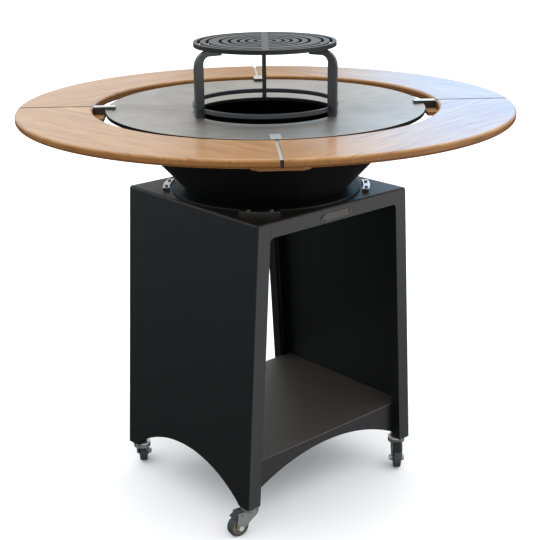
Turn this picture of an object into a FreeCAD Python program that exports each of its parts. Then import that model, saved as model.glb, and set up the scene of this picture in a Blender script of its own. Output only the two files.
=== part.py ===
import FreeCAD, Part
import math
import os

os.makedirs("parts", exist_ok=True)

# Frame: millimetres, +Z up, origin on the floor under the bowl axis.
# The open cabinet face with the badge looks along -Y.

# Casters
wheel_diameter = 54.0
wheel_width = 20.0
tyre_depth = 8.0
caster_head_height = 22.0
caster_head_diameter = 46.0
caster_trail = 35.0
caster_inset = 26.0
axle_diameter = 8.0
kingpin_diameter = 10.0
head_plate_thickness = 3.0
head_race_depth = 6.0
race_margin = 3.0
race_gap = 0.5
collar_gap = 1.5
collar_wall = 2.0
kingpin_rivet_height = 3.5
kingpin_rivet_margin = 4.0
kingpin_nut_size = 17.0
kingpin_nut_height = 8.0
fork_bridge = 4.0
fork_sheet = 2.5
fork_side_gap = 1.0
fork_back_reach = 40.0
fork_front_reach = 18.0
fork_waist_drop = 9.0
fork_waist_set_in = 2.0
fork_boss_margin = 6.0
axle_nut_size = 13.0
axle_head_height = 5.0
axle_nut_height = 6.5
axle_stub = 1.5
hub_boss_wall = 4.0
hub_boss_proud = 1.0
hub_web_half = 3.0
hub_rim_wall = 3.0
hub_rim_set_in = 1.0
tyre_edge_radius = 4.0
running_clearance = 0.06
brake_pivot_reach = 30.0
brake_pivot_drop = 3.0
brake_pivot_diameter = 4.0
brake_pivot_wall = 1.0
brake_arm_thickness = 2.8
brake_side_gap = 0.5
pedal_reach = 22.0
pedal_front = 2.8
pedal_rise = 8.5
pedal_drop = 5.8
pedal_lip = 2.0
trail_angle_front_left = 171.0
trail_angle_front_right = 227.0
trail_angle_back_left = 50.0
trail_angle_back_right = 20.0

# Cabinet
cabinet_height = 721.0
cabinet_top_width = 504.0
cabinet_bottom_width = 594.0
cabinet_depth = 512.0
sheet = 3.0
bend_radius = 5.0
stile_width = 40.0
stile_return = 28.0
rail_height = 33.0
rail_corner_radius = 12.0
top_lip_width = 25.0
top_plate_thickness = 5.0
top_plate_inset = 0.5
top_plate_edge_radius = 4.7
shelf_height = 105.0
apron_depth = 89.0
front_arch_crown = 80.0
front_arch_radius = 540.0
side_arch_crown = 82.5
side_foot_width = 34.0
mount_length = 42.0
mount_thickness = 5.0
mount_corner_cut = 10.0
badge_length = 80.0
badge_height = 18.0
badge_thickness = 1.5
badge_ear_length = 12.0
badge_ear_height = 10.0
rivet_diameter = 4.0

# Fire bowl
bowl_floor_margin = 9.5
bowl_floor_thickness = 5.0
bowl_floor_flange = 35.0
bowl_height = 194.5
bowl_wall = 4.0
stop_gap = 7.5
stop_width = 17.0
stop_thickness = 7.0
stop_half_angle = 10.7
stop_bolt_half_angle = 6.2
stop_bolt_diameter = 5.0
stop_bolt_head_size = 8.0
stop_bolt_head_height = 3.5

# Plancha
plancha_radius = 400.0
plancha_hole_radius = 180.0
plancha_thickness = 10.0
plancha_dish = 11.7
plancha_overhang = 14.0
locator_length = 22.0
locator_width = 30.0
locator_drop = 16.0
locator_gap = 3.0
seat_gap = 0.1

# Wooden table ring
ring_gap = 32.5
board_width = 187.5
wood_thickness = 20.0
wood_edge_radius = 7.0
seam_turn = 6.6
bracket_strip_width = 8.0
bracket_strip_set_in = 8.0
bracket_strip_sink = 3.0
bracket_thickness = 6.0
bracket_head_width = 25.0
bracket_head_rest = 24.0
bracket_head_over_gap = 30.0
bracket_web_gap = 2.5
cleat_width = 124.0
cleat_thickness = 9.5
cleat_set_in = 24.0
cleat_corner_cut = 15.0
cleat_screw_diameter = 5.0
cleat_screw_grip = 13.0
fastener_clearance = 0.05

# Grill stand and grate
stand_height = 161.0
stand_turn = 49.5
stand_ring_margin = 4.0
stand_ring_thickness = 6.0
stand_ring_height = 11.0
stand_ring_lift = 11.5
leg_width = 23.0
leg_thickness = 11.0
leg_let_in = 8.5
leg_outer_bend = 40.0
arm_depth = 15.0
arm_length = 83.0
arm_tip_length = 9.0
arm_tip_depth = 7.0
grate_thickness = 11.0
grate_inset = 6.0
slot_width = 8.0
slot_bridge = 16.0
grate_turn = 49.0
slot_ratios = (0.138, 0.263, 0.374, 0.500, 0.625, 0.805, 0.924)

# Heights that follow from the sizes above
wheel_radius = wheel_diameter / 2
cabinet_bottom = wheel_diameter + caster_head_height
cabinet_top = cabinet_bottom + cabinet_height
plate_top = cabinet_top + top_plate_thickness
floor_top = plate_top + bowl_floor_thickness
bowl_rim_top = floor_top + bowl_height
bowl_rim_radius = plancha_radius - plancha_overhang
bowl_floor_radius = cabinet_top_width / 2 - top_plate_inset - bowl_floor_margin
bowl_foot_radius = bowl_floor_radius - bowl_floor_flange
bowl_slope = (bowl_rim_radius - bowl_foot_radius) / bowl_height
bowl_wall_across = bowl_wall * math.hypot(1, bowl_slope)
plancha_slope = plancha_dish / (plancha_radius - plancha_hole_radius)
bowl_seat_radius = bowl_rim_radius - bowl_wall_across
plancha_rim_top = (bowl_rim_top + seat_gap + plancha_thickness
                   + plancha_slope * (plancha_radius - bowl_seat_radius))
wood_top = plancha_rim_top + seat_gap + bracket_thickness
wood_bottom = wood_top - wood_thickness
cleat_bottom = wood_bottom - cleat_thickness
wood_inner_radius = plancha_radius + ring_gap
wood_outer_radius = wood_inner_radius + board_width
side_lean = (cabinet_bottom_width - cabinet_top_width) / 2 / cabinet_height
half_depth = cabinet_depth / 2


def vec(x, y, z):
    return FreeCAD.Vector(x, y, z)


def plancha_surface(radius):
    return plancha_rim_top - plancha_slope * (plancha_radius - radius)


def half_width(height):
    return cabinet_top_width / 2 + side_lean * (cabinet_top - height)


def bowl_outer(height):
    return bowl_foot_radius + bowl_slope * (height - floor_top)


def box(x0, x1, y0, y1, z0, z1):
    return Part.makeBox(x1 - x0, y1 - y0, z1 - z0, vec(x0, y0, z0))


def post(radius, z0, z1, x=0.0, y=0.0):
    return Part.makeCylinder(radius, z1 - z0, vec(x, y, z0))


def rod_y(radius, y0, y1, x, z):
    return Part.makeCylinder(radius, y1 - y0, vec(x, y0, z), vec(0, 1, 0))


def hex_post(across_flats, z0, z1, x=0.0, y=0.0):
    corner = across_flats / math.sqrt(3)
    points = []
    for step in range(6):
        angle = math.radians(60 * step)
        points.append(vec(x + corner * math.cos(angle), y + corner * math.sin(angle), z0))
    points.append(points[0])
    return Part.Face(Part.makePolygon(points)).extrude(vec(0, 0, z1 - z0))


def rounded_face(points, radii):
    # Closed planar outline with its corners rounded by the given radii.
    edges = []
    starts = []
    ends = []
    mids = []
    count = len(points)
    for index in range(count):
        here = points[index]
        before = points[index - 1] - here
        after = points[(index + 1) % count] - here
        before.normalize()
        after.normalize()
        radius = radii[index]
        if radius <= 0:
            starts.append(here)
            ends.append(here)
            mids.append(None)
            continue
        half = before.getAngle(after) / 2
        reach = radius / math.tan(half)
        middle = before + after
        middle.normalize()
        starts.append(here + before * reach)
        ends.append(here + after * reach)
        mids.append(here + middle * (radius / math.sin(half) - radius))
    for index in range(count):
        if mids[index] is not None:
            edges.append(Part.Arc(starts[index], mids[index], ends[index]).toShape())
        following = starts[(index + 1) % count]
        if (following - ends[index]).Length > 1e-6:
            edges.append(Part.makeLine(ends[index], following))
    return Part.Face(Part.Wire(edges))


def plate_xz(points, y0, y1, radii=None):
    corners = [vec(x, y0, z) for x, z in points]
    if radii is None:
        radii = [0] * len(points)
    return rounded_face(corners, radii).extrude(vec(0, y1 - y0, 0))


def ring_of(points, radii=None):
    # Solid of revolution about +Z from an outline of (radius, height) points.
    corners = [vec(r, 0, z) for r, z in points]
    if radii is None:
        radii = [0] * len(points)
    return rounded_face(corners, radii).revolve(vec(0, 0, 0), vec(0, 0, 1), 360)


def turned(shape, angle):
    copy = shape.copy()
    copy.rotate(vec(0, 0, 0), vec(0, 0, 1), angle)
    return copy


def moved(shape, x, y, z=0.0):
    copy = shape.copy()
    copy.translate(vec(x, y, z))
    return copy


def polar(radius, angle):
    return radius * math.cos(math.radians(angle)), radius * math.sin(math.radians(angle))


def save(name, shape):
    shape.exportStep("parts/" + name + ".step")


def rounded_edges(shape, radius, chosen):
    # Rounds those edges whose bounds pass the test.
    return shape.makeFillet(radius, [edge for edge in shape.Edges if chosen(edge.BoundBox)])


# Cabinet side panels: one folded sheet each, with channel stiles, a top lip and a foot arch
outer = cabinet_bottom_width / 2
inner_bend = bend_radius - sheet
stile_inner = outer - stile_width
return_end = half_depth - stile_return
section = [
    vec(stile_inner, -return_end, cabinet_bottom),
    vec(stile_inner, -half_depth, cabinet_bottom),
    vec(outer, -half_depth, cabinet_bottom),
    vec(outer, half_depth, cabinet_bottom),
    vec(stile_inner, half_depth, cabinet_bottom),
    vec(stile_inner, return_end, cabinet_bottom),
    vec(stile_inner + sheet, return_end, cabinet_bottom),
    vec(stile_inner + sheet, half_depth - sheet, cabinet_bottom),
    vec(outer - sheet, half_depth - sheet, cabinet_bottom),
    vec(outer - sheet, sheet - half_depth, cabinet_bottom),
    vec(stile_inner + sheet, sheet - half_depth, cabinet_bottom),
    vec(stile_inner + sheet, -return_end, cabinet_bottom),
]
section_radii = [0, 0, bend_radius, bend_radius, 0, 0, 0, 0, inner_bend, inner_bend, 0, 0]
lean = vec(-side_lean * cabinet_height, 0, cabinet_height)
panel = rounded_face(section, section_radii).extrude(lean)
lip_low = cabinet_top - sheet
lip = plate_xz(
    [(half_width(lip_low) - top_lip_width, lip_low), (half_width(lip_low) - sheet / 2, lip_low),
     (half_width(cabinet_top) - sheet / 2, cabinet_top),
     (half_width(cabinet_top) - top_lip_width, cabinet_top)],
    sheet / 2 - half_depth, half_depth - sheet / 2)
panel = panel.fuse(lip).removeSplitter()
foot_half = half_depth - side_foot_width
side_arch_radius = (foot_half ** 2 + side_arch_crown ** 2) / (2 * side_arch_crown)
side_arch_centre = cabinet_bottom + side_arch_crown - side_arch_radius
side_arch = Part.makeCylinder(side_arch_radius, 4 * stile_width,
                              vec(outer - 2 * stile_width, 0, side_arch_centre), vec(1, 0, 0))
panel_right = panel.cut(side_arch)
panel_left = panel_right.mirror(vec(0, 0, 0), vec(1, 0, 0))
save("side_panel_right", panel_right)
save("side_panel_left", panel_left)

# Top rails of the two open faces, with rounded inner corners and a lip under the top plate
rail_low = cabinet_top - rail_height
rail_end = rail_low - rail_corner_radius * 2 / 3


def stile_edge(height):
    return half_width(height) - stile_width


rail = plate_xz(
    [(-stile_edge(cabinet_top), cabinet_top), (stile_edge(cabinet_top), cabinet_top),
     (stile_edge(rail_end), rail_end), (-stile_edge(rail_end), rail_end)],
    -half_depth, sheet - half_depth)
opening_low = rail_low - 3 * rail_corner_radius
opening = plate_xz(
    [(-stile_edge(rail_low), rail_low), (stile_edge(rail_low), rail_low),
     (stile_edge(opening_low), opening_low), (-stile_edge(opening_low), opening_low)],
    -half_depth - sheet, 2 * sheet - half_depth, [rail_corner_radius, rail_corner_radius, 0, 0])
rail_lip = box(-stile_edge(cabinet_top), stile_edge(cabinet_top),
               sheet / 2 - half_depth, top_lip_width - half_depth, lip_low, cabinet_top)
rail = rail.cut(opening).fuse(rail_lip).removeSplitter()
save("back_rail", turned(rail, 180))

# Badge plate without lettering, held on the front rail by two rivets
badge_mid = cabinet_top - rail_height / 2
badge_front = -half_depth - badge_thickness
ear_half = badge_length / 2 + badge_ear_length
rivet_offset = badge_length / 2 + badge_ear_length / 2
badge = box(-badge_length / 2, badge_length / 2, badge_front, -half_depth,
            badge_mid - badge_height / 2, badge_mid + badge_height / 2)
ears = box(-ear_half, ear_half, badge_front, -half_depth,
           badge_mid - badge_ear_height / 2, badge_mid + badge_ear_height / 2)
badge = badge.fuse(ears).removeSplitter()
rivets = []
for side in (-1, 1):
    hole = rod_y(rivet_diameter / 2 + fastener_clearance, badge_front - 1, 2 * sheet - half_depth,
                 side * rivet_offset, badge_mid)
    badge = badge.cut(hole)
    rail = rail.cut(hole)
    shank = rod_y(rivet_diameter / 2, badge_front, sheet + 1 - half_depth,
                  side * rivet_offset, badge_mid)
    head = rod_y(rivet_diameter * 0.9, badge_front - badge_thickness, badge_front,
                 side * rivet_offset, badge_mid)
    rivets.append(shank.fuse(head).removeSplitter())
save("front_rail", rail)
save("badge_plate", badge)
save("badge_rivets", Part.makeCompound(rivets))

# Shelf with an arched apron folded down at the front and at the back, behind the stiles
shelf_top = cabinet_bottom + shelf_height
shelf_low = shelf_top - sheet
apron_low = shelf_top - apron_depth


def panel_inside(height):
    return half_width(height) - sheet


shelf = plate_xz(
    [(-panel_inside(shelf_top), shelf_top), (panel_inside(shelf_top), shelf_top),
     (panel_inside(shelf_low), shelf_low), (-panel_inside(shelf_low), shelf_low)],
    -return_end, return_end)
apron = plate_xz(
    [(-panel_inside(shelf_top), shelf_top), (panel_inside(shelf_top), shelf_top),
     (panel_inside(apron_low), apron_low), (-panel_inside(apron_low), apron_low)],
    -return_end, sheet - return_end)
front_arch = rod_y(front_arch_radius, -return_end - sheet, 2 * sheet - return_end,
                   0, cabinet_bottom + front_arch_crown - front_arch_radius)
apron = apron.cut(front_arch)
shelf = shelf.fuse(apron).fuse(turned(apron, 180)).removeSplitter()
save("shelf", shelf)

# Caster mounting plates in the feet of the four channel stiles
mount_top = cabinet_bottom + mount_thickness
corner_y = sheet - half_depth
mount_end = corner_y + mount_length
mount = plate_xz(
    [(panel_inside(cabinet_bottom), cabinet_bottom), (panel_inside(mount_top), mount_top),
     (stile_edge(mount_top) + sheet, mount_top), (stile_edge(cabinet_bottom) + sheet, cabinet_bottom)],
    corner_y, mount_end)
cut_x = stile_edge(cabinet_bottom) + sheet - 1
inner_cut = Part.Face(Part.makePolygon([
    vec(cut_x, mount_end, cabinet_bottom - 1), vec(cut_x + mount_corner_cut, mount_end, cabinet_bottom - 1),
    vec(cut_x, mount_end - mount_corner_cut, cabinet_bottom - 1), vec(cut_x, mount_end, cabinet_bottom - 1)]))
mount = mount.cut(inner_cut.extrude(vec(0, 0, mount_thickness + 2)))
bend_x = panel_inside(cabinet_bottom)
bend_clear = inner_bend * 2
mount = mount.cut(box(bend_x - bend_clear, bend_x + 1, corner_y - 1, corner_y + bend_clear,
                      cabinet_bottom - 1, mount_top + 1))
caster_x = half_width(cabinet_bottom) - caster_inset
caster_y = half_depth - caster_inset
kingpin_radius = kingpin_diameter / 2
mount = mount.cut(post(kingpin_radius + fastener_clearance, cabinet_bottom - 1, mount_top + 1,
                       caster_x, -caster_y))
mount_left = mount.mirror(vec(0, 0, 0), vec(1, 0, 0))
mounts = [mount, mount_left, turned(mount, 180), turned(mount_left, 180)]
save("caster_mounts", Part.makeCompound(mounts))

# One caster, built with its swivel axis on Z and its wheel trailing along +X
nut_top = mount_top + kingpin_nut_height
head_plate_low = cabinet_bottom - head_plate_thickness
race_low = head_plate_low - head_race_depth
fork_top = race_low - race_gap
fork_low = fork_top - fork_bridge
collar_top = head_plate_low - collar_gap
collar_inner = caster_head_diameter / 2 - collar_wall
rivet_top = fork_low - race_gap
rivet_low = rivet_top - kingpin_rivet_height
head_shape = post(caster_head_diameter / 2, head_plate_low, cabinet_bottom)
head_shape = head_shape.fuse(post(collar_inner - race_margin, race_low, head_plate_low))
head_shape = head_shape.fuse(post(kingpin_radius, rivet_low, nut_top + 1))
head_shape = head_shape.fuse(post(kingpin_radius + kingpin_rivet_margin, rivet_low, rivet_top))
head_shape = head_shape.removeSplitter()
nut = hex_post(kingpin_nut_size, mount_top, nut_top)
nut = nut.cut(post(kingpin_radius + fastener_clearance, mount_top - 1, nut_top + 1))

hub_half = wheel_width / 2 + hub_boss_proud
cheek_inner = hub_half + fork_side_gap
cheek_outer = cheek_inner + fork_sheet
axle_z = wheel_radius
axle_radius = axle_diameter / 2
boss_radius = axle_radius + fork_boss_margin


def tangent_point(x, z, side):
    # Point where a line from (x, z) touches the round end of the fork cheek.
    dx = caster_trail - x
    dz = axle_z - z
    distance = math.hypot(dx, dz)
    swing = math.acos(boss_radius / distance)
    angle = math.atan2(-dz, -dx) + side * swing
    return caster_trail + boss_radius * math.cos(angle), axle_z + boss_radius * math.sin(angle)


cheek_waist = (fork_waist_set_in - fork_front_reach, fork_low - fork_waist_drop)
pivot_x = brake_pivot_reach
pivot_z = fork_low - brake_pivot_drop
pivot_radius = brake_pivot_diameter / 2
cheek_points = [
    (-fork_front_reach, fork_top), (fork_back_reach, fork_top),
    tangent_point(fork_back_reach, fork_top, -1), (caster_trail, axle_z),
    tangent_point(cheek_waist[0], cheek_waist[1], 1), cheek_waist,
]
fork = post(caster_head_diameter / 2, fork_low, collar_top)
fork = fork.cut(post(collar_inner, fork_top, collar_top + 1))
fork = fork.cut(post(kingpin_radius + running_clearance, fork_low - 1, fork_top + 1))
for y0 in (cheek_inner, -cheek_outer):
    cheek = plate_xz(cheek_points, y0, y0 + fork_sheet)
    cheek = cheek.fuse(rod_y(boss_radius, y0, y0 + fork_sheet, caster_trail, axle_z))
    cheek = cheek.cut(rod_y(axle_radius + fastener_clearance, y0 - 1, y0 + fork_sheet + 1,
                            caster_trail, axle_z))
    cheek = cheek.cut(rod_y(pivot_radius + running_clearance, y0 - 1, y0 + fork_sheet + 1,
                            pivot_x, pivot_z))
    fork = fork.fuse(cheek)
fork = fork.removeSplitter()


def hex_rod_y(across_flats, y0, y1, x, z):
    shape = hex_post(across_flats, y0, y1)
    shape.rotate(vec(0, 0, 0), vec(1, 0, 0), -90)
    return moved(shape, x, 0, z)


nut_end = -cheek_outer - axle_nut_height
axle = rod_y(axle_radius, nut_end - axle_stub, cheek_outer, caster_trail, axle_z)
axle_head = hex_rod_y(axle_nut_size, cheek_outer, cheek_outer + axle_head_height, caster_trail, axle_z)
axle = axle.fuse(axle_head).removeSplitter()
axle_nut = hex_rod_y(axle_nut_size, nut_end, -cheek_outer, caster_trail, axle_z)
axle_nut = axle_nut.cut(rod_y(axle_radius + fastener_clearance, nut_end - 1, cheek_outer,
                              caster_trail, axle_z))
axle_set = Part.makeCompound([axle, axle_nut])

hub_radius = wheel_radius - tyre_depth
bore = axle_radius + running_clearance
boss_outer = bore + hub_boss_wall
rim_half = wheel_width / 2 - hub_rim_set_in
rim_inner = hub_radius - hub_rim_wall
web_outer = rim_inner - 1
hub = ring_of([
    (bore, -hub_half), (boss_outer, -hub_half), (boss_outer, -hub_web_half), (web_outer, -hub_web_half),
    (rim_inner, -rim_half), (hub_radius, -rim_half), (hub_radius, rim_half), (rim_inner, rim_half),
    (web_outer, hub_web_half), (boss_outer, hub_web_half), (boss_outer, hub_half), (bore, hub_half)])
tyre = ring_of(
    [(hub_radius, -wheel_width / 2), (wheel_radius, -wheel_width / 2),
     (wheel_radius, wheel_width / 2), (hub_radius, wheel_width / 2)],
    [0, tyre_edge_radius, tyre_edge_radius, 0])


def on_axle(shape):
    copy = shape.copy()
    copy.rotate(vec(0, 0, 0), vec(1, 0, 0), 90)
    return moved(copy, caster_trail, 0, axle_z)


pedal_half = cheek_inner - brake_side_gap
pedal_end = pivot_x + pedal_reach
pedal_points = [
    (pivot_x - pedal_front, pivot_z - pivot_radius), (pedal_end, pivot_z - pedal_drop),
    (pedal_end + pedal_lip / 2, pivot_z - pedal_drop + pedal_lip), (pivot_x, pivot_z + pedal_rise),
    (pivot_x - pedal_front, pivot_z + pedal_rise - pivot_radius),
]
pedal_inside = pedal_half - brake_arm_thickness
pedal = plate_xz(pedal_points, -pedal_half, pedal_half)
pedal = pedal.cut(moved(plate_xz(pedal_points, -pedal_inside, pedal_inside), 0, 0, -brake_arm_thickness))
pedal = pedal.fuse(rod_y(pivot_radius + brake_pivot_wall, -pedal_half, pedal_half, pivot_x, pivot_z))
pedal = pedal.fuse(rod_y(pivot_radius, -cheek_outer - 1, cheek_outer + 1, pivot_x, pivot_z)).removeSplitter()

caster_places = (
    ("front_left", -caster_x, -caster_y, trail_angle_front_left),
    ("front_right", caster_x, -caster_y, trail_angle_front_right),
    ("back_left", -caster_x, caster_y, trail_angle_back_left),
    ("back_right", caster_x, caster_y, trail_angle_back_right),
)
nuts = []
for place, x, y, angle in caster_places:
    save("caster_head_" + place, moved(head_shape, x, y))
    save("caster_fork_" + place, moved(turned(fork, angle), x, y))
    save("caster_axle_" + place, moved(turned(axle_set, angle), x, y))
    save("wheel_hub_" + place, moved(turned(on_axle(hub), angle), x, y))
    save("wheel_tyre_" + place, moved(turned(on_axle(tyre), angle), x, y))
    save("brake_pedal_" + place, moved(turned(pedal, angle), x, y))
    nuts.append(moved(nut, x, y))
save("caster_nuts", Part.makeCompound(nuts))

# Top plate with the four stops that keep the bowl in place
plate_x = cabinet_top_width / 2 - top_plate_inset
plate_y = half_depth - top_plate_inset
top_plate = box(-plate_x, plate_x, -plate_y, plate_y, cabinet_top, plate_top)
top_plate = rounded_edges(top_plate, bend_radius, lambda bounds: bounds.ZLength > top_plate_thickness / 2)
top_plate = rounded_edges(top_plate, top_plate_edge_radius, lambda bounds: bounds.ZMin > plate_top - 1e-4)
stop_inner = bowl_floor_radius + stop_gap
stop_mid = stop_inner + stop_width / 2
stop_top = plate_top + stop_thickness
stop_arc = post(stop_inner + stop_width, plate_top, stop_top).cut(
    post(stop_inner, plate_top - 1, stop_top + 1))
far = 2 * (stop_inner + stop_width)
wedge = Part.Face(Part.makePolygon([
    vec(0, 0, plate_top - 1), vec(*polar(far, -stop_half_angle), plate_top - 1),
    vec(*polar(far, stop_half_angle), plate_top - 1), vec(0, 0, plate_top - 1)]))
stop_arc = stop_arc.common(wedge.extrude(vec(0, 0, stop_thickness + 2)))
stops = []
stop_bolts = []
bolt_radius = stop_bolt_diameter / 2
for corner in (45, 135, 225, 315):
    stop = turned(stop_arc, corner)
    for side in (-1, 1):
        bx, by = polar(stop_mid, corner + side * stop_bolt_half_angle)
        hole = post(bolt_radius + fastener_clearance, cabinet_top - 1, stop_top + 1, bx, by)
        stop = stop.cut(hole)
        top_plate = top_plate.cut(hole)
        bolt = post(bolt_radius, cabinet_top, stop_top, bx, by)
        bolt = bolt.fuse(hex_post(stop_bolt_head_size, stop_top, stop_top + stop_bolt_head_height, bx, by))
        stop_bolts.append(bolt.removeSplitter())
    stops.append(stop)
save("top_plate", top_plate)
save("bowl_stops", Part.makeCompound(stops))
save("stop_bolts", Part.makeCompound(stop_bolts))

# Fire bowl: flat floor disc and the cone welded onto it
save("bowl_floor", post(bowl_floor_radius, plate_top, floor_top))
save("bowl_cone", ring_of([
    (bowl_foot_radius - bowl_wall_across, floor_top), (bowl_foot_radius, floor_top),
    (bowl_rim_radius, bowl_rim_top), (bowl_seat_radius, bowl_rim_top)]))

# Plancha: a plate ring that falls gently towards its hole, with locators inside the bowl rim
hole_edge_top = plancha_surface(plancha_hole_radius)
plancha = ring_of([
    (plancha_hole_radius, hole_edge_top), (plancha_hole_radius, hole_edge_top - plancha_thickness),
    (plancha_radius, plancha_rim_top - plancha_thickness), (plancha_radius, plancha_rim_top)])
save("plancha", plancha)
locator_low = bowl_rim_top - locator_drop
locator_outer = bowl_outer(locator_low) - bowl_wall_across - locator_gap
locator = box(locator_outer - locator_length, locator_outer, -locator_width / 2, locator_width / 2,
              locator_low, bowl_rim_top + plancha_thickness / 2)
locator = locator.cut(plancha)
locators = []
for quarter in range(4):
    locators.append(turned(locator, seam_turn + 90 * quarter))
save("plancha_locators", Part.makeCompound(locators))

# Wooden table ring: four board quarters, parted by the bracket strips
half_strip = bracket_strip_width / 2
wood = ring_of([
    (wood_inner_radius, wood_bottom), (wood_outer_radius, wood_bottom),
    (wood_outer_radius, wood_top), (wood_inner_radius, wood_top)],
    [wood_edge_radius / 2, wood_edge_radius, wood_edge_radius, wood_edge_radius])
seam_angles = [225 + seam_turn, 315 + seam_turn, 45 + seam_turn, 135 + seam_turn]
for angle in seam_angles[:2]:
    reach = wood_outer_radius + 10
    slab = box(-reach, reach, -half_strip, half_strip, wood_bottom - 1, wood_top + 1)
    wood = wood.cut(turned(slab, angle))

cleat_inner = plancha_radius + bracket_web_gap
cleat_outer = wood_outer_radius - cleat_set_in
cut = cleat_corner_cut
cleat_half = cleat_width / 2
cleat_outline = [
    vec(cleat_inner, -cleat_half, cleat_bottom), vec(cleat_outer - cut, -cleat_half, cleat_bottom),
    vec(cleat_outer, cut - cleat_half, cleat_bottom), vec(cleat_outer, cleat_half - cut, cleat_bottom),
    vec(cleat_outer - cut, cleat_half, cleat_bottom), vec(cleat_inner, cleat_half, cleat_bottom),
]
cleat = rounded_face(cleat_outline, [0] * 6).extrude(vec(0, 0, cleat_thickness))
head_in = plancha_radius - bracket_head_rest
head_out = plancha_radius + bracket_head_over_gap
bracket = box(plancha_radius + bracket_web_gap, wood_outer_radius - bracket_strip_set_in,
              -half_strip, half_strip, wood_bottom, wood_top - bracket_strip_sink)
bracket = bracket.fuse(box(head_in, head_out, -bracket_head_width / 2, bracket_head_width / 2,
                           wood_top - bracket_thickness, wood_top)).removeSplitter()
screw_radius = cleat_screw_diameter / 2
screw_top = wood_bottom + cleat_screw_grip
screw_rows = (wood_inner_radius + board_width * 0.2, wood_inner_radius + board_width * 0.68)
bolt_rows = (wood_inner_radius + board_width * 0.25, wood_inner_radius + board_width * 0.73)
screws = []
bolts = []
for row in screw_rows:
    for side in (-1, 1):
        y = side * cleat_width * 0.32
        hole = post(screw_radius + fastener_clearance, cleat_bottom - 1, screw_top, row, y)
        cleat = cleat.cut(hole)
        for angle in seam_angles:
            wood = wood.cut(turned(hole, angle))
        screw = post(screw_radius, cleat_bottom, screw_top - 0.5, row, y)
        screw = screw.fuse(post(cleat_screw_diameter * 0.95, cleat_bottom - 3, cleat_bottom, row, y))
        screws.append(screw.removeSplitter())
for row in bolt_rows:
    hole = post(screw_radius + fastener_clearance, cleat_bottom - 1, screw_top, row, 0)
    cleat = cleat.cut(hole)
    bracket = bracket.cut(hole)
    bolt = post(screw_radius, cleat_bottom, screw_top - 0.5, row, 0)
    bolt = bolt.fuse(hex_post(cleat_screw_diameter * 1.7, cleat_bottom - 3.5, cleat_bottom, row, 0))
    bolts.append(bolt.removeSplitter())

quarter_names = {}
for solid in wood.Solids:
    middle = solid.CenterOfMass
    if abs(middle.x) > abs(middle.y):
        name = "table_quarter_right" if middle.x > 0 else "table_quarter_left"
    else:
        name = "table_quarter_back" if middle.y > 0 else "table_quarter_front"
    quarter_names[name] = solid
for name in sorted(quarter_names):
    save(name, quarter_names[name])
seam_places = ("front_left", "front_right", "back_right", "back_left")
all_screws = []
all_bolts = []
for place, angle in zip(seam_places, seam_angles):
    save("seam_bracket_" + place, turned(bracket, angle))
    save("seam_cleat_" + place, turned(cleat, angle))
    for screw in screws:
        all_screws.append(turned(screw, angle))
    for bolt in bolts:
        all_bolts.append(turned(bolt, angle))
save("cleat_screws", Part.makeCompound(all_screws))
save("bracket_bolts", Part.makeCompound(all_bolts))

# Grill stand: three legs with inward arms, joined by a flat ring around the fire hole
stand_ring_outer = plancha_hole_radius + stand_ring_margin
leg_inner = stand_ring_outer - leg_let_in
leg_outer = leg_inner + leg_width
stand_foot = plancha_surface(leg_outer)
stand_top = stand_foot + stand_height
ring_low = stand_foot + stand_ring_lift
stand_ring = ring_of([
    (stand_ring_outer - stand_ring_thickness, ring_low), (stand_ring_outer, ring_low),
    (stand_ring_outer, ring_low + stand_ring_height),
    (stand_ring_outer - stand_ring_thickness, ring_low + stand_ring_height)])
arm_end = leg_outer - arm_length
inner_corner = leg_outer_bend - leg_width
leg = plate_xz(
    [(leg_inner, plancha_surface(leg_inner) + seat_gap), (leg_outer, stand_foot + seat_gap),
     (leg_outer, stand_top), (arm_end, stand_top), (arm_end, stand_top - arm_tip_depth),
     (arm_end + arm_tip_length, stand_top - arm_tip_depth), (arm_end + arm_tip_length, stand_top - arm_depth),
     (leg_inner, stand_top - arm_depth)],
    -leg_thickness / 2, leg_thickness / 2,
    [0, 0, leg_outer_bend, 0, 0, 0, 0, inner_corner])
leg = leg.cut(stand_ring)
save("stand_ring", stand_ring)
save("stand_leg_back", turned(leg, stand_turn))
save("stand_leg_left", turned(leg, stand_turn + 120))
save("stand_leg_right", turned(leg, stand_turn + 240))

# Round grate: a thick plate with half-ring slots parted by one bridge
grate_radius = stand_ring_outer - grate_inset
grate_low = stand_top + seat_gap
grate_top = grate_low + grate_thickness
grate = post(grate_radius, grate_low, grate_top)
bridge = box(-grate_radius, grate_radius, -slot_bridge / 2, slot_bridge / 2, grate_low - 2, grate_top + 2)
for ratio in slot_ratios:
    middle = grate_radius * ratio
    slot = post(middle + slot_width / 2, grate_low - 1, grate_top + 1)
    slot = slot.cut(post(middle - slot_width / 2, grate_low - 2, grate_top + 2))
    grate = grate.cut(slot.cut(bridge))
save("grill_grate", turned(grate, grate_turn))
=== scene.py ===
import math

import bpy
from mathutils import Matrix, Vector

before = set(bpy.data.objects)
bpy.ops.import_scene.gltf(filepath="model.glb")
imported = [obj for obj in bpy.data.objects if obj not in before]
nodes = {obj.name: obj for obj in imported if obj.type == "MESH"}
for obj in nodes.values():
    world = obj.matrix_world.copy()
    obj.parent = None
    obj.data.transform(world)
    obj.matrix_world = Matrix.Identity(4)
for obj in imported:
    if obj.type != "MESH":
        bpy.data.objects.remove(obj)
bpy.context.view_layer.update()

# Names that several lines share
PLACES = ("front_left", "front_right", "back_left", "back_right")
PANELS = ("side_panel_left", "side_panel_right", "front_rail", "back_rail")
STAND = ("stand_leg_back", "stand_leg_left", "stand_leg_right", "stand_ring")

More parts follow.
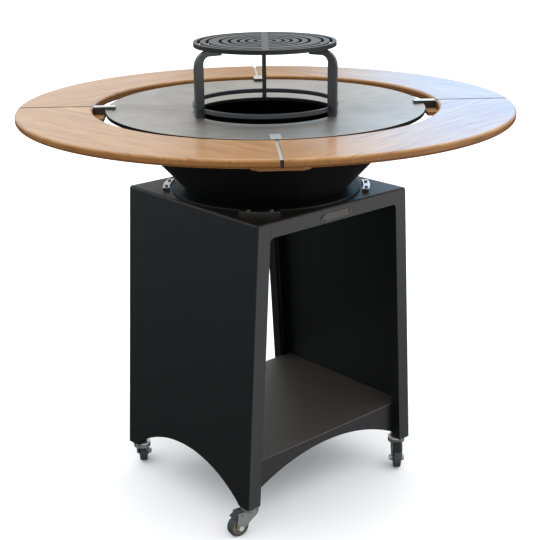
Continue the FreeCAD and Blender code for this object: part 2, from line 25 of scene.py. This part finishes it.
# Camera, fitted to the photograph
CAMERA_PLACE = Vector((-1.8433, -2.0946, 1.5325))
CAMERA_HEADING = math.radians(41.488)
CAMERA_PITCH = math.radians(-18.982)
CAMERA_ROLL = math.radians(-0.615)
CAMERA_LENS = 74.15
SENSOR_WIDTH = 36.0

# Stage, in metres
FLOOR_REACH = 40.0
WALL_HEIGHT = 30.0
PALE = (0.93, 0.93, 0.93, 1.0)

# Brightness of the studio world, as red, green, blue
ZENITH_LIGHT = (1.90, 1.92, 1.95)
ROOM_LIGHT = (1.04, 1.11, 1.16)
CORNER_LIGHT = (0.30, 0.29, 0.27)
WINDOW_LIGHT = (0.68, 2.05, 3.25)
WINDOW_BLUE = (0.48, 2.20, 4.15)
WINDOW_TOP = (2.70, 2.30, 2.15)
FRONT_LIGHT = (2.20, 2.18, 2.24)
BELOW_LIGHT = (0.035, 0.034, 0.033)

# Where these lights stand: headings clockwise from +Y and rises above the horizon, in degrees
CORNER_HEADING = 41.5
CORNER_RISE = 12.0
WINDOW_SIDE = 44.5
WINDOW_HEADING = 51.0
WINDOW_RISE = 12.0
FRONT_HEADING = 166.0
FRONT_RISE = -6.0

# Their soft borders, from none to full: a height is the sine of a rise, an edge the sine of an angle
# to one side, a reach the cosine of an angle from the middle
ZENITH_HEIGHT = (0.35, 0.70)
HORIZON_HEIGHT = (-0.13, -0.01)
CORNER_EDGE = (0.115, 0.025)
CORNER_REACH = (0.90, 0.96)
WINDOW_EDGE = (-0.05, 0.09)
WINDOW_BLUE_EDGE = (0.03, 0.13)
WINDOW_REACH = (0.95, 0.985)
WINDOW_FOOT_HEIGHT = (0.05, 0.13)
WINDOW_TOP_HEIGHT = (0.215, 0.285)
FRONT_REACH = (0.70, 0.97)

# The boards of the wooden ring run along the chord of their quarter: angles in degrees, sizes in metres
SEAM_TURN = 6.6
QUARTER_ANGLES = {
    "table_quarter_front": 270 + SEAM_TURN,
    "table_quarter_right": SEAM_TURN,
    "table_quarter_back": 90 + SEAM_TURN,
    "table_quarter_left": 180 + SEAM_TURN,
}
CLEAT_ANGLE = 45 + SEAM_TURN
BOARD_WIDTH = 0.062
BOARD_SHIFT = 3.0
GLUE_LINE = 0.0009

# How fast each pattern of the wood changes across a board, along it and through it
FIGURE_SCALE = (28.0, 3.0, 28.0)
STREAK_SCALE = (260.0, 9.0, 260.0)
DASH_SCALE = (130.0, 6.0, 130.0)
PORE_SCALE = (1500.0, 40.0, 1500.0)

# Tones of the wood, as linear red, green, blue, those of its figure with their places on a ramp
WOOD_FIGURE = (
    (0.30, (0.31, 0.142, 0.037)),
    (0.50, (0.39, 0.197, 0.057)),
    (0.72, (0.46, 0.248, 0.077)),
)
WOOD_STREAK = (0.235, 0.098, 0.023)
WOOD_BOARD = (0.30, 0.135, 0.037)
WOOD_DASH = (0.15, 0.056, 0.013)
WOOD_PORE = (0.11, 0.042, 0.011)
WOOD_GLUE = (0.09, 0.036, 0.012)
# Painted shade laid on the wood's upright and lower faces
WOOD_RIM_SHADE = (0.105, 0.036, 0.006)

# Tones of the rolled steel plate, and the stretch and direction of its streaks
STEEL_DARK = (0.285, 0.268, 0.241)
STEEL_LIGHT = (0.420, 0.395, 0.355)
STEEL_STREAK = (0.238, 0.225, 0.204)
# Painted shade for the plate's upright faces
STEEL_RIM_SHADE = (0.035, 0.034, 0.033)
ROLLING_SCALE = (6.0, 160.0, 6.0)
ROLLING_TURN = math.radians(40)

# Stretch of the bright steel's ground streaks
GROUND_SCALE = (900.0, 60.0, 900.0)

BLACK = (0.0032, 0.0032, 0.0034)

# A face is upright up to the first rise of its normal, and level from the second on
UPRIGHT_RISE = 0.45
LEVEL_RISE = 0.75

# Rounding of edges, in metres, its steps, and the angles of what counts as flat and as sharp
SMALL_EDGE = 0.0005
SHEET_EDGE = 0.0008
BAR_EDGE = 0.0012
CLEAT_EDGE = 0.0015
FOLD_EDGE = 0.0022
EDGE_STEPS = 2
WELD_REACH = 1e-5
FLAT_ANGLE = math.radians(0.5)
SHARP_ANGLE = math.radians(40)


def toned(colour, share):
    """The colour made darker, or brighter where the share is above 1."""
    return tuple(share * part for part in colour)


class Nodes:
    """Short calls to add and join the nodes of one tree."""

    def __init__(self, tree):
        self.tree = tree

    def add(self, kind, inputs=None, **settings):
        node = self.tree.nodes.new(kind)
        for key, value in settings.items():
            setattr(node, key, value)
        for key, value in (inputs or {}).items():
            self.feed(node.inputs[key], value)
        return node

    def feed(self, socket, value):
        """Joins another node's output to a socket, or sets the socket's own value."""
        if isinstance(value, bpy.types.NodeSocket):
            self.tree.links.new(value, socket)
        else:
            socket.default_value = value

    def math(self, operation, first, second=0.0):
        return self.add("ShaderNodeMath", {0: first, 1: second}, operation=operation).outputs[0]

    def spread(self, value, low, high, start=0.3, end=0.7, bend="LINEAR"):
        """Goes from low to high while the value goes from start to end."""
        node = self.add("ShaderNodeMapRange", {
            "Value": value, "From Min": start, "From Max": end, "To Min": low, "To Max": high})
        node.interpolation_type = bend
        return node.outputs["Result"]

    def mix(self, factor, first, second):
        """The first colour at factor 0, the second at factor 1."""
        node = self.add("ShaderNodeMix", data_type="RGBA")
        sockets = (node.inputs[0], node.inputs[6], node.inputs[7])
        for socket, value in zip(sockets, (factor, first, second)):
            self.feed(socket, (*value, 1.0) if isinstance(value, tuple) else value)
        return node.outputs[2]


class Look(Nodes):
    """A new node material with its shader and the piece's own axes."""

    def __init__(self, name):
        self.material = bpy.data.materials.new(name)
        self.material.use_nodes = True
        super().__init__(self.material.node_tree)
        self.surface = self.tree.nodes["Principled BSDF"]
        axes = self.add("ShaderNodeTexCoord")
        self.place = axes.outputs["Object"]
        self.normal = axes.outputs["Normal"]

    def set(self, **values):
        """Feeds the shader's sockets, where base_color stands for Base Color."""
        for key, value in values.items():
            socket_name = key.replace("_", " ").title().replace("Ior", "IOR")
            self.feed(self.surface.inputs[socket_name], value)

    def turned(self, turn):
        inputs = {"Vector": self.place, "Angle": turn}
        return self.add("ShaderNodeVectorRotate", inputs, rotation_type="Z_AXIS").outputs[0]

    def stretched(self, scale, turn=0.0, shift=None):
        vector = self.turned(turn)
        if shift is not None:
            vector = self.add("ShaderNodeVectorMath", {0: vector, 1: shift}, operation="ADD").outputs[0]
        scaled = self.add("ShaderNodeVectorMath", {0: vector, 1: scale}, operation="MULTIPLY")
        return scaled.outputs[0]

    def noise(self, vector, scale=1.0, detail=3.0, roughness=0.55, distortion=0.0):
        node = self.add("ShaderNodeTexNoise", {
            "Vector": vector, "Scale": scale, "Detail": detail,
            "Roughness": roughness, "Distortion": distortion})
        return node.outputs["Fac"]

    def ramp(self, value, stops):
        node = self.add("ShaderNodeValToRGB", {"Fac": value})
        ramp = node.color_ramp
        while len(ramp.elements) < len(stops):
            ramp.elements.new(1.0)
        for element, (position, colour) in zip(ramp.elements, stops):
            element.position = position
            element.color = (*colour, 1.0)
        return node.outputs["Color"]

    def mottled(self, pattern, colour, share):
        """The colour, down to a share of it where the pattern is low."""
        return self.mix(self.spread(pattern, 0.0, 1.0), toned(colour, share), colour)

    def around(self, pattern, middle, swing):
        """A value that swings about its middle with the pattern."""
        return self.spread(pattern, middle - swing, middle + swing)

    def rise(self):
        """How far a face looks up: 1 for a top, 0 for an upright face, -1 for an underside."""
        return self.add("ShaderNodeSeparateXYZ", {"Vector": self.normal}).outputs["Z"]

    def level(self, upright, flat):
        """One value on the piece's upright faces, another on those that look up or down."""
        return self.spread(self.math("ABSOLUTE", self.rise()), upright, flat, UPRIGHT_RISE, LEVEL_RISE)

    def bump(self, height, distance, strength):
        node = self.add("ShaderNodeBump", {"Height": height, "Distance": distance, "Strength": strength})
        self.feed(self.surface.inputs["Normal"], node.outputs[0])


def powder_coat(name, colour, roughness, specular, dust_and_painted_light=None):
    """A coat with a fine grain. Its level faces are greyed, partly by a dusty film and partly by painted
    light on the lit top, and the bend of a fold gets a painted highlight.
    """
    look = Look(name)
    grain = look.noise(look.place, scale=900.0, detail=2.0)
    cloud = look.noise(look.place, scale=5.0, detail=4.0)
    coat = look.mottled(cloud, colour, share=0.8)
    if dust_and_painted_light:
        # Level faces greyed: partly a dusty film, partly painted light
        coat = look.mix(look.level(0.0, 1.0), coat, dust_and_painted_light)
        # Painted highlight: a lighter band, four times the grey tone, where the fold bends
        fold = look.math("PINGPONG", look.spread(look.rise(), 0.0, 2.0, start=0.25, end=0.98), 1.0)
        coat = look.mix(fold, coat, toned(dust_and_painted_light, 4.0))
    look.set(
        base_color=coat,
        roughness=look.around(grain, roughness, swing=0.05),
        specular_ior_level=specular)
    look.bump(grain, distance=0.0004, strength=0.35)
    return look.material


def oiled_wood(name, board_angle):
    """Glued boards with the grain along them, with painted shade low on the outer edge and half as much
    underneath.
    """
    look = Look(name)
    turn = -math.radians(board_angle)
    axes = look.add("ShaderNodeSeparateXYZ", {"Vector": look.turned(turn)})
    across = look.math("DIVIDE", axes.outputs["X"], BOARD_WIDTH)
    inside = look.math("FRACT", across)
    seed = look.math("ADD", look.math("FLOOR", across), board_angle)
    board = look.add("ShaderNodeTexWhiteNoise", {"W": seed}, noise_dimensions="1D").outputs["Value"]
    slide = look.math("MULTIPLY", board, BOARD_SHIFT)
    shift = look.add("ShaderNodeCombineXYZ", {"X": 0.0, "Y": slide, "Z": slide}).outputs[0]
    figure = look.noise(look.stretched(FIGURE_SCALE, turn, shift), detail=4.0, distortion=0.6)
    streak = look.noise(look.stretched(STREAK_SCALE, turn, shift), detail=3.0, roughness=0.6)
    dash = look.noise(look.stretched(DASH_SCALE, turn, shift), detail=2.0)
    pores = look.noise(look.stretched(PORE_SCALE, turn, shift), detail=2.0)
    tone = look.ramp(figure, WOOD_FIGURE)
    tone = look.mix(look.spread(streak, 0.0, 0.55), tone, WOOD_STREAK)
    tone = look.mix(look.spread(board, 0.0, 0.15, start=0.0, end=1.0), tone, WOOD_BOARD)
    tone = look.mix(look.spread(dash, 0.0, 0.52, start=0.56, end=0.66), tone, WOOD_DASH)
    tone = look.mix(look.spread(pores, 0.0, 0.30, start=0.60, end=0.75), tone, WOOD_PORE)
    edge = look.math("MINIMUM", inside, look.math("SUBTRACT", 1.0, inside))
    glue = look.spread(edge, 0.55, 0.0, start=0.0, end=GLUE_LINE / BOARD_WIDTH)
    tone = look.mix(glue, tone, WOOD_GLUE)
    # Painted shade: upright and lower faces are darkened toward the shade tone, less on the flat underside
    rim_shade = look.spread(look.rise(), 1.0, 0.0, start=-0.35, end=0.95)
    underside = look.spread(look.rise(), 0.45, 1.0, start=-0.95, end=-0.70)
    look.set(
        base_color=look.mix(look.math("MULTIPLY", rim_shade, underside), tone, WOOD_RIM_SHADE),
        roughness=look.spread(streak, 0.34, 0.46),
        specular_ior_level=look.spread(look.rise(), 0.2, 0.5, start=0.3, end=0.95),
        coat_weight=look.spread(look.rise(), 0.05, 0.35, start=0.3, end=0.95),
        coat_roughness=0.12, coat_ior=1.5)
    relief = look.math("ADD", look.math("MULTIPLY", pores, 0.3), streak)
    look.bump(relief, distance=0.0004, strength=0.25)
    return look.material


def rolled_steel(name):
    """Bare plate with the streaks of rolling and soft patches, and painted shade, near black, on its
    upright edge.
    """
    look = Look(name)
    streak = look.noise(look.stretched(ROLLING_SCALE, ROLLING_TURN), detail=5.0, roughness=0.65)
    patch = look.noise(look.place, scale=7.0, detail=5.0, distortion=0.8)
    base = look.mix(look.spread(patch, 0.0, 1.0), STEEL_DARK, STEEL_LIGHT)
    face = look.mix(look.spread(streak, 0.0, 0.35), base, STEEL_STREAK)
    look.set(
        # Painted shade: upright faces take the near-black edge tone
        base_color=look.mix(look.level(1.0, 0.0), face, STEEL_RIM_SHADE),
        metallic=1.0,
        roughness=look.spread(streak, 0.36, 0.46))
    look.bump(streak, distance=0.0003, strength=0.15)
    return look.material


def bright_steel(name, colour, roughness, side=1.0, metal=1.0, streak_tone=0.88):
    """Ground or zinc-plated steel. Side is the share of the colour on its upright faces, which darkens them
    as painted shade.
    """
    look = Look(name)
    streak = look.noise(look.stretched(GROUND_SCALE), detail=3.0)
    face = look.mottled(streak, colour, streak_tone)
    look.set(
        # Painted shade: upright faces keep only the side share of the colour
        base_color=look.mix(look.level(1.0, 0.0), face, toned(colour, side)),
        metallic=metal,
        roughness=look.around(streak, roughness, swing=0.06))
    look.bump(streak, distance=0.0002, strength=0.15)
    return look.material


def dark_steel(name, colour, roughness, specular, side=1.0):
    """Dark coated steel or iron. Side is the share of the colour on its upright faces, which darkens them
    as painted shade.
    """
    look = Look(name)
    cloud = look.noise(look.place, scale=40.0, detail=4.0)
    grain = look.noise(look.place, scale=700.0, detail=2.0)
    face = look.mottled(cloud, colour, share=0.7)
    look.set(
        # Painted shade: upright faces keep only the side share of the colour
        base_color=look.mix(look.level(1.0, 0.0), face, toned(colour, side)),
        roughness=look.around(cloud, roughness, swing=0.07),
        specular_ior_level=specular)
    look.bump(grain, distance=0.0004, strength=0.25)
    return look.material


def soft_plastic(name, colour, roughness):
    """Rubber or moulded plastic, a little uneven."""
    look = Look(name)
    cloud = look.noise(look.place, scale=120.0, detail=4.0)
    look.set(
        base_color=look.mottled(cloud, colour, share=0.7),
        roughness=look.around(cloud, roughness, swing=0.08))
    look.bump(cloud, distance=0.0003, strength=0.2)
    return look.material


def dress(material, *names):
    for name in names:
        nodes[name].material_slots[0].material = material


def soften(width, *names):
    """Rounds the sharp edges of these CAD nodes, as a deburred or coated edge is."""
    for name in names:
        modifiers = nodes[name].modifiers
        weld = modifiers.new("weld", "WELD")
        weld.merge_threshold = WELD_REACH
        flat = modifiers.new("flat", "DECIMATE")
        flat.decimate_type = "DISSOLVE"
        flat.angle_limit = FLAT_ANGLE
        bevel = modifiers.new("bevel", "BEVEL")
        bevel.width = width
        bevel.segments = EDGE_STEPS
        bevel.limit_method = "ANGLE"
        bevel.angle_limit = SHARP_ANGLE
        shade = modifiers.new("shade", "WEIGHTED_NORMAL")
        shade.keep_sharp = True


def per_place(*stems):
    """The names of pieces that stand once in each of the four places."""
    return [stem + place for stem in stems for place in PLACES]


# Cabinet and bowl
dress(powder_coat("black_powder_coat", BLACK, roughness=0.42, specular=0.50),
      *PANELS, "caster_mounts", "caster_nuts")
# Painted light: the top plate's coat is a lighter copy of the cabinet's black, brightened to stand in for
# light
dress(powder_coat("top_coat_painted_light", (0.024, 0.0215, 0.0205), roughness=0.40, specular=0.32), "top_plate")
# The shelf's level faces get a dusty film with painted light, and its fold gets a painted highlight
dress(powder_coat("shelf_coat", BLACK, roughness=0.48, specular=0.40, dust_and_painted_light=(0.045, 0.042, 0.036)), "shelf")
dress(powder_coat("bowl_coat", (0.0022, 0.0022, 0.0024), roughness=0.50, specular=0.40),
      "bowl_floor", "bowl_cone")

# Bare metal
dress(rolled_steel("plancha_steel"), "plancha", "plancha_locators")
# Painted shade: the stops' upright cut faces are darkened to a fifth
dress(bright_steel("stainless", (0.62, 0.605, 0.58), roughness=0.24, side=0.22),
      "bowl_stops", "stop_bolts", "bracket_bolts", "cleat_screws")
# Painted shade: the brackets' upright faces and ends are darkened to an eighth
dress(bright_steel("bracket_steel", (0.62, 0.62, 0.58), roughness=0.42, side=0.12),
      *per_place("seam_bracket_"))
dress(bright_steel("badge_steel", (0.062, 0.061, 0.059), roughness=0.32), "badge_plate", "badge_rivets")

# Casters
# Painted shade: the fork's upright faces are darkened by a quarter
dress(bright_steel("fork_zinc", (0.19, 0.193, 0.185), roughness=0.46,
                   side=0.75, metal=0.25, streak_tone=0.6),
      *per_place("caster_fork_"))
dress(bright_steel("axle_zinc", (0.34, 0.345, 0.34), roughness=0.36, metal=0.6), *per_place("caster_axle_"))
dress(bright_steel("head_zinc", (0.62, 0.63, 0.62), roughness=0.38, metal=0.35), *per_place("caster_head_"))
dress(bright_steel("pedal_zinc", (0.022, 0.022, 0.021), roughness=0.40, metal=0.5),
      *per_place("brake_pedal_"))
dress(soft_plastic("tyre_rubber", (0.020, 0.033, 0.040), roughness=0.62), *per_place("wheel_tyre_"))
dress(soft_plastic("hub_plastic", (0.20, 0.135, 0.065), roughness=0.45), *per_place("wheel_hub_"))

# Grill stand and grate
dress(dark_steel("stand_coat", (0.014, 0.017, 0.019), roughness=0.35, specular=0.70), *STAND)
# Painted shade: the grate's upright faces keep only an eighth of the colour
dress(dark_steel("grate_iron", (0.078, 0.078, 0.079), roughness=0.45, specular=0.25, side=0.12),
      "grill_grate")

# Wooden ring
for quarter, angle in QUARTER_ANGLES.items():
    dress(oiled_wood("wood_" + quarter, angle), quarter)
dress(oiled_wood("wood_cleat", CLEAT_ANGLE), *per_place("seam_cleat_"))

soften(BAR_EDGE, *STAND, "grill_grate", "plancha")
soften(FOLD_EDGE, "shelf")
soften(SHEET_EDGE, *PANELS, "bowl_floor", "bowl_stops", "stop_bolts", *per_place("seam_bracket_"))
soften(SMALL_EDGE, "badge_plate", "caster_mounts", "caster_nuts",
       *per_place("caster_head_", "caster_fork_", "caster_axle_", "brake_pedal_", "wheel_hub_"))
soften(CLEAT_EDGE, *per_place("seam_cleat_"))


def towards(heading, rise=0.0):
    """The unit vector to a heading clockwise from +Y and a rise above the horizon, in radians."""
    return Vector((math.cos(rise) * math.sin(heading), math.cos(rise) * math.cos(heading), math.sin(rise)))


def set_camera():
    forward = towards(CAMERA_HEADING, CAMERA_PITCH)
    level_right = forward.cross(Vector((0, 0, 1))).normalized()
    right = Matrix.Rotation(-CAMERA_ROLL, 3, forward) @ level_right
    up = right.cross(forward)
    camera = bpy.data.objects.new("camera", bpy.data.cameras.new("camera"))
    camera.data.lens = CAMERA_LENS
    camera.data.sensor_width = SENSOR_WIDTH
    turn = Matrix((right, up, -forward)).transposed()
    camera.matrix_world = Matrix.Translation(CAMERA_PLACE) @ turn.to_4x4()
    bpy.context.scene.collection.objects.link(camera)
    bpy.context.scene.camera = camera


def set_stage(name, material, points, faces):
    mesh = bpy.data.meshes.new(name)
    mesh.from_pydata(points, [], faces)
    mesh.materials.append(material)
    item = bpy.data.objects.new(name, mesh)
    item.visible_glossy = False
    bpy.context.scene.collection.objects.link(item)
    return item


def floor_and_backdrop():
    """A pale floor and four walls at its edges. Only the camera sees the walls, so they block no light."""
    paint = Look("pale_paint")
    paint.set(base_color=PALE, roughness=0.9)
    corners = [(-FLOOR_REACH, -FLOOR_REACH), (FLOOR_REACH, -FLOOR_REACH),
               (FLOOR_REACH, FLOOR_REACH), (-FLOOR_REACH, FLOOR_REACH)]
    low = [(x, y, 0.0) for x, y in corners]
    high = [(x, y, WALL_HEIGHT) for x, y in corners]
    walls = [(0, 1, 5, 4), (1, 2, 6, 5), (2, 3, 7, 6), (3, 0, 4, 7)]
    set_stage("floor", paint.material, low, [(0, 1, 2, 3)])
    backdrop = set_stage("backdrop", paint.material, low + high, walls)
    backdrop.visible_diffuse = False
    backdrop.visible_transmission = False
    backdrop.visible_shadow = False


def softbox(name, place, target, width, height, power, colour):
    light = bpy.data.lights.new(name, "AREA")
    light.shape = "RECTANGLE"
    light.size = width
    light.size_y = height
    light.energy = power
    light.color = colour
    item = bpy.data.objects.new(name, light)
    item.location = place
    item.rotation_euler = (Vector(target) - Vector(place)).to_track_quat("-Z", "Y").to_euler()
    bpy.context.scene.collection.objects.link(item)


def studio_world():
    """White light from above, walls with a dark corner and a cool window, dark below but for the front."""
    world = bpy.data.worlds.new("studio")
    bpy.context.scene.world = world
    world.use_nodes = True
    room = Nodes(world.node_tree)
    direction = room.add("ShaderNodeTexCoord").outputs["Generated"]
    height = room.add("ShaderNodeSeparateXYZ", {"Vector": direction}).outputs["Z"]

    def along(heading, rise=0.0):
        target = towards(math.radians(heading), math.radians(rise))
        node = room.add("ShaderNodeVectorMath", {0: direction, 1: target}, operation="DOT_PRODUCT")
        return node.outputs["Value"]

    def soft(value, border):
        start, end = border
        return room.spread(value, 0.0, 1.0, start, end, bend="SMOOTHSTEP")

    aside = room.math("ABSOLUTE", along(CORNER_HEADING + 90))
    corner_reach = soft(along(CORNER_HEADING, CORNER_RISE), CORNER_REACH)
    corner = room.math("MULTIPLY", soft(aside, CORNER_EDGE), corner_reach)
    beside = along(WINDOW_SIDE + 90)
    window_reach = soft(along(WINDOW_HEADING, WINDOW_RISE), WINDOW_REACH)
    window = room.math("MULTIPLY", soft(beside, WINDOW_EDGE), window_reach)
    window = room.math("MULTIPLY", window, soft(height, WINDOW_FOOT_HEIGHT))
    pane = room.mix(soft(beside, WINDOW_BLUE_EDGE), WINDOW_LIGHT, WINDOW_BLUE)
    pane = room.mix(soft(height, WINDOW_TOP_HEIGHT), pane, WINDOW_TOP)
    walls = room.mix(window, room.mix(corner, ROOM_LIGHT, CORNER_LIGHT), pane)
    above = room.mix(soft(height, ZENITH_HEIGHT), walls, ZENITH_LIGHT)
    front = soft(along(FRONT_HEADING, FRONT_RISE), FRONT_REACH)
    below = room.mix(front, BELOW_LIGHT, FRONT_LIGHT)
    sky = room.mix(soft(height, HORIZON_HEIGHT), below, above)
    room.feed(world.node_tree.nodes["Background"].inputs["Color"], sky)


set_camera()
floor_and_backdrop()
softbox("front_side", place=(1.5, -1.75, 0.5), target=(0.0, -0.25, 0.5),
        width=1.6, height=0.9, power=4.0, colour=(1.0, 0.985, 0.98))
studio_world()
bpy.context.scene.view_settings.view_transform = "Standard"
